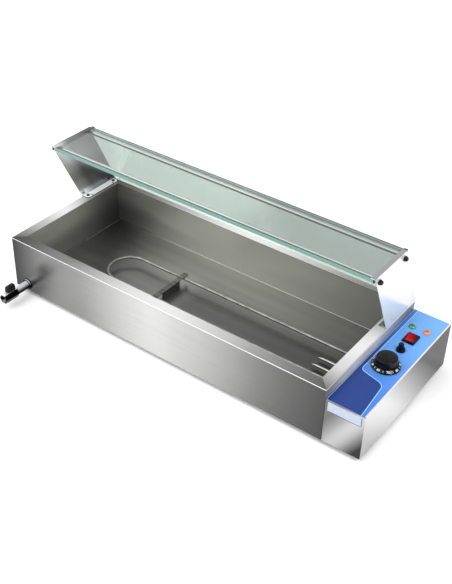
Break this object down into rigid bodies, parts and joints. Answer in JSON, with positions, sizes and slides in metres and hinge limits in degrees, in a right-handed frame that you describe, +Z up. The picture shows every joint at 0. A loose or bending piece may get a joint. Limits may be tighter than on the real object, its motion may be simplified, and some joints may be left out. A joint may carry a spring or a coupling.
{
  "type": "bain marie",
  "caption": "Countertop wet-heat bain marie: a long steel water well with a hairpin heater, drain tap, side control box and a glass guard on leaning end panels.",
  "frame": {"origin": "on the table under the middle of the whole object, feet at z = 0", "axes": "+X to the right, towards the control box; +Y to the back, towards the guard; +Z up"},
  "size_m": [0.9226, 0.449, 0.308],
  "materials": {
    "brushed_stainless": "brushed lengthwise",
    "satin_stainless": "satin, slightly worn",
    "galvanised_sheet": "plain galvanised",
    "zinc_screw": "bright zinc",
    "brass_fitting": "machined",
    "black_rubber": "matt",
    "fibre_gasket": "matt",
    "heater_sheath": "drawn tube, bright",
    "terminal_pin": "plain",
    "sensing_bulb": "bright drawn metal",
    "copper_capillary": "drawn copper",
    "printed_overlay": "printed film, light blue with a dark blue area",
    "blank_label": "blank printed film",
    "control_body": "moulded",
    "steel_spindle": "turned",
    "black_plastic": "moulded, fine grain",
    "red_plastic": "moulded, translucent red",
    "green_lens": "translucent lens",
    "orange_lens": "translucent lens",
    "gland_plastic": "moulded",
    "plated_tap": "nickel plated",
    "seat_plastic": "smooth",
    "lever_plastic": "moulded",
    "clear_glass": "clear, green at the edges",
    "polished_rod": "polished",
    "black_cap": "moulded"
  },
  "bodies": {
    "cabinet": {"base_plate": "galvanised_sheet", "base_screws": "zinc_screw", "bulb_gland_nuts": "brass_fitting", "bulb_glands": "brass_fitting", "cable_gland": "gland_plastic", "control_box": "brushed_stainless", "control_box_base": "galvanised_sheet", "control_box_screws": "zinc_screw", "drain_nipple": "brass_fitting", "drain_sump": "satin_stainless", "element_bracket": "satin_stainless", "element_bushes": "brass_fitting", "element_gaskets": "fibre_gasket", "element_nuts": "brass_fitting", "element_terminals": "terminal_pin", "end_panel_screws": "zinc_screw", "foot_screws": "zinc_screw", "front_label": "blank_label", "gland_cap": "gland_plastic", "gland_locknut": "gland_plastic", "glass_corner_caps": "black_cap", "green_lamp_lens": "green_lens", "heating_element": "heater_sheath", "lamp_bodies": "control_body", "left_cap_nuts": "black_cap", "left_end_panel": "brushed_stainless", "limiter_body": "control_body", "limiter_bulb": "sensing_bulb", "limiter_capillary": "copper_capillary", "orange_lamp_lens": "orange_lens", "outer_casing": "brushed_stainless", "panel_overlay": "printed_overlay", "rear_glass": "clear_glass", "reset_collar": "black_plastic", "right_cap_nuts": "black_cap", "right_end_panel": "brushed_stainless", "rubber_feet": "black_rubber", "stem_bonnet": "plated_tap", "switch_housing": "black_plastic", "tap_body": "plated_tap", "tap_gasket": "fibre_gasket", "tap_outlet": "plated_tap", "tap_seats": "seat_plastic", "terminal_block": "control_body", "thermostat_body": "control_body", "thermostat_bulb": "sensing_bulb", "thermostat_capillary": "copper_capillary", "thermostat_screws": "zinc_screw", "tie_rods": "polished_rod", "top_glass": "clear_glass", "well_tank": "satin_stainless"},
    "knob": {"thermostat_knob": "black_plastic", "thermostat_spindle": "steel_spindle"},
    "reset_button": {"reset_button": "black_plastic"},
    "rocker": {"switch_rocker": "red_plastic"},
    "tap_valve": {"tap_lever": "lever_plastic", "tap_stem": "plated_tap", "tap_ball": "plated_tap"}
  },
  "joints": [
    {"name": "knob_turn", "type": "hinge", "parent": "cabinet", "child": "knob", "pos_m": [0.418, 0.0055, 0.1179], "axis": [0, 0, -1], "range_deg": [0, 270]},
    {"name": "reset_press", "type": "slide", "parent": "cabinet", "child": "reset_button", "axis": [0, 0, -1], "range_m": [0, 0.003], "stiffness_N_per_m": 400},
    {"name": "rocker_tilt", "type": "hinge", "parent": "cabinet", "child": "rocker", "pos_m": [0.418, 0.109, 0.1159], "axis": [1, 0, 0], "range_deg": [-18, 0]},
    {"name": "tap_turn", "type": "hinge", "parent": "cabinet", "child": "tap_valve", "pos_m": [-0.41575, -0.2015, 0.0275], "axis": [0, 0, 1], "range_deg": [0, 90]}
  ]
}
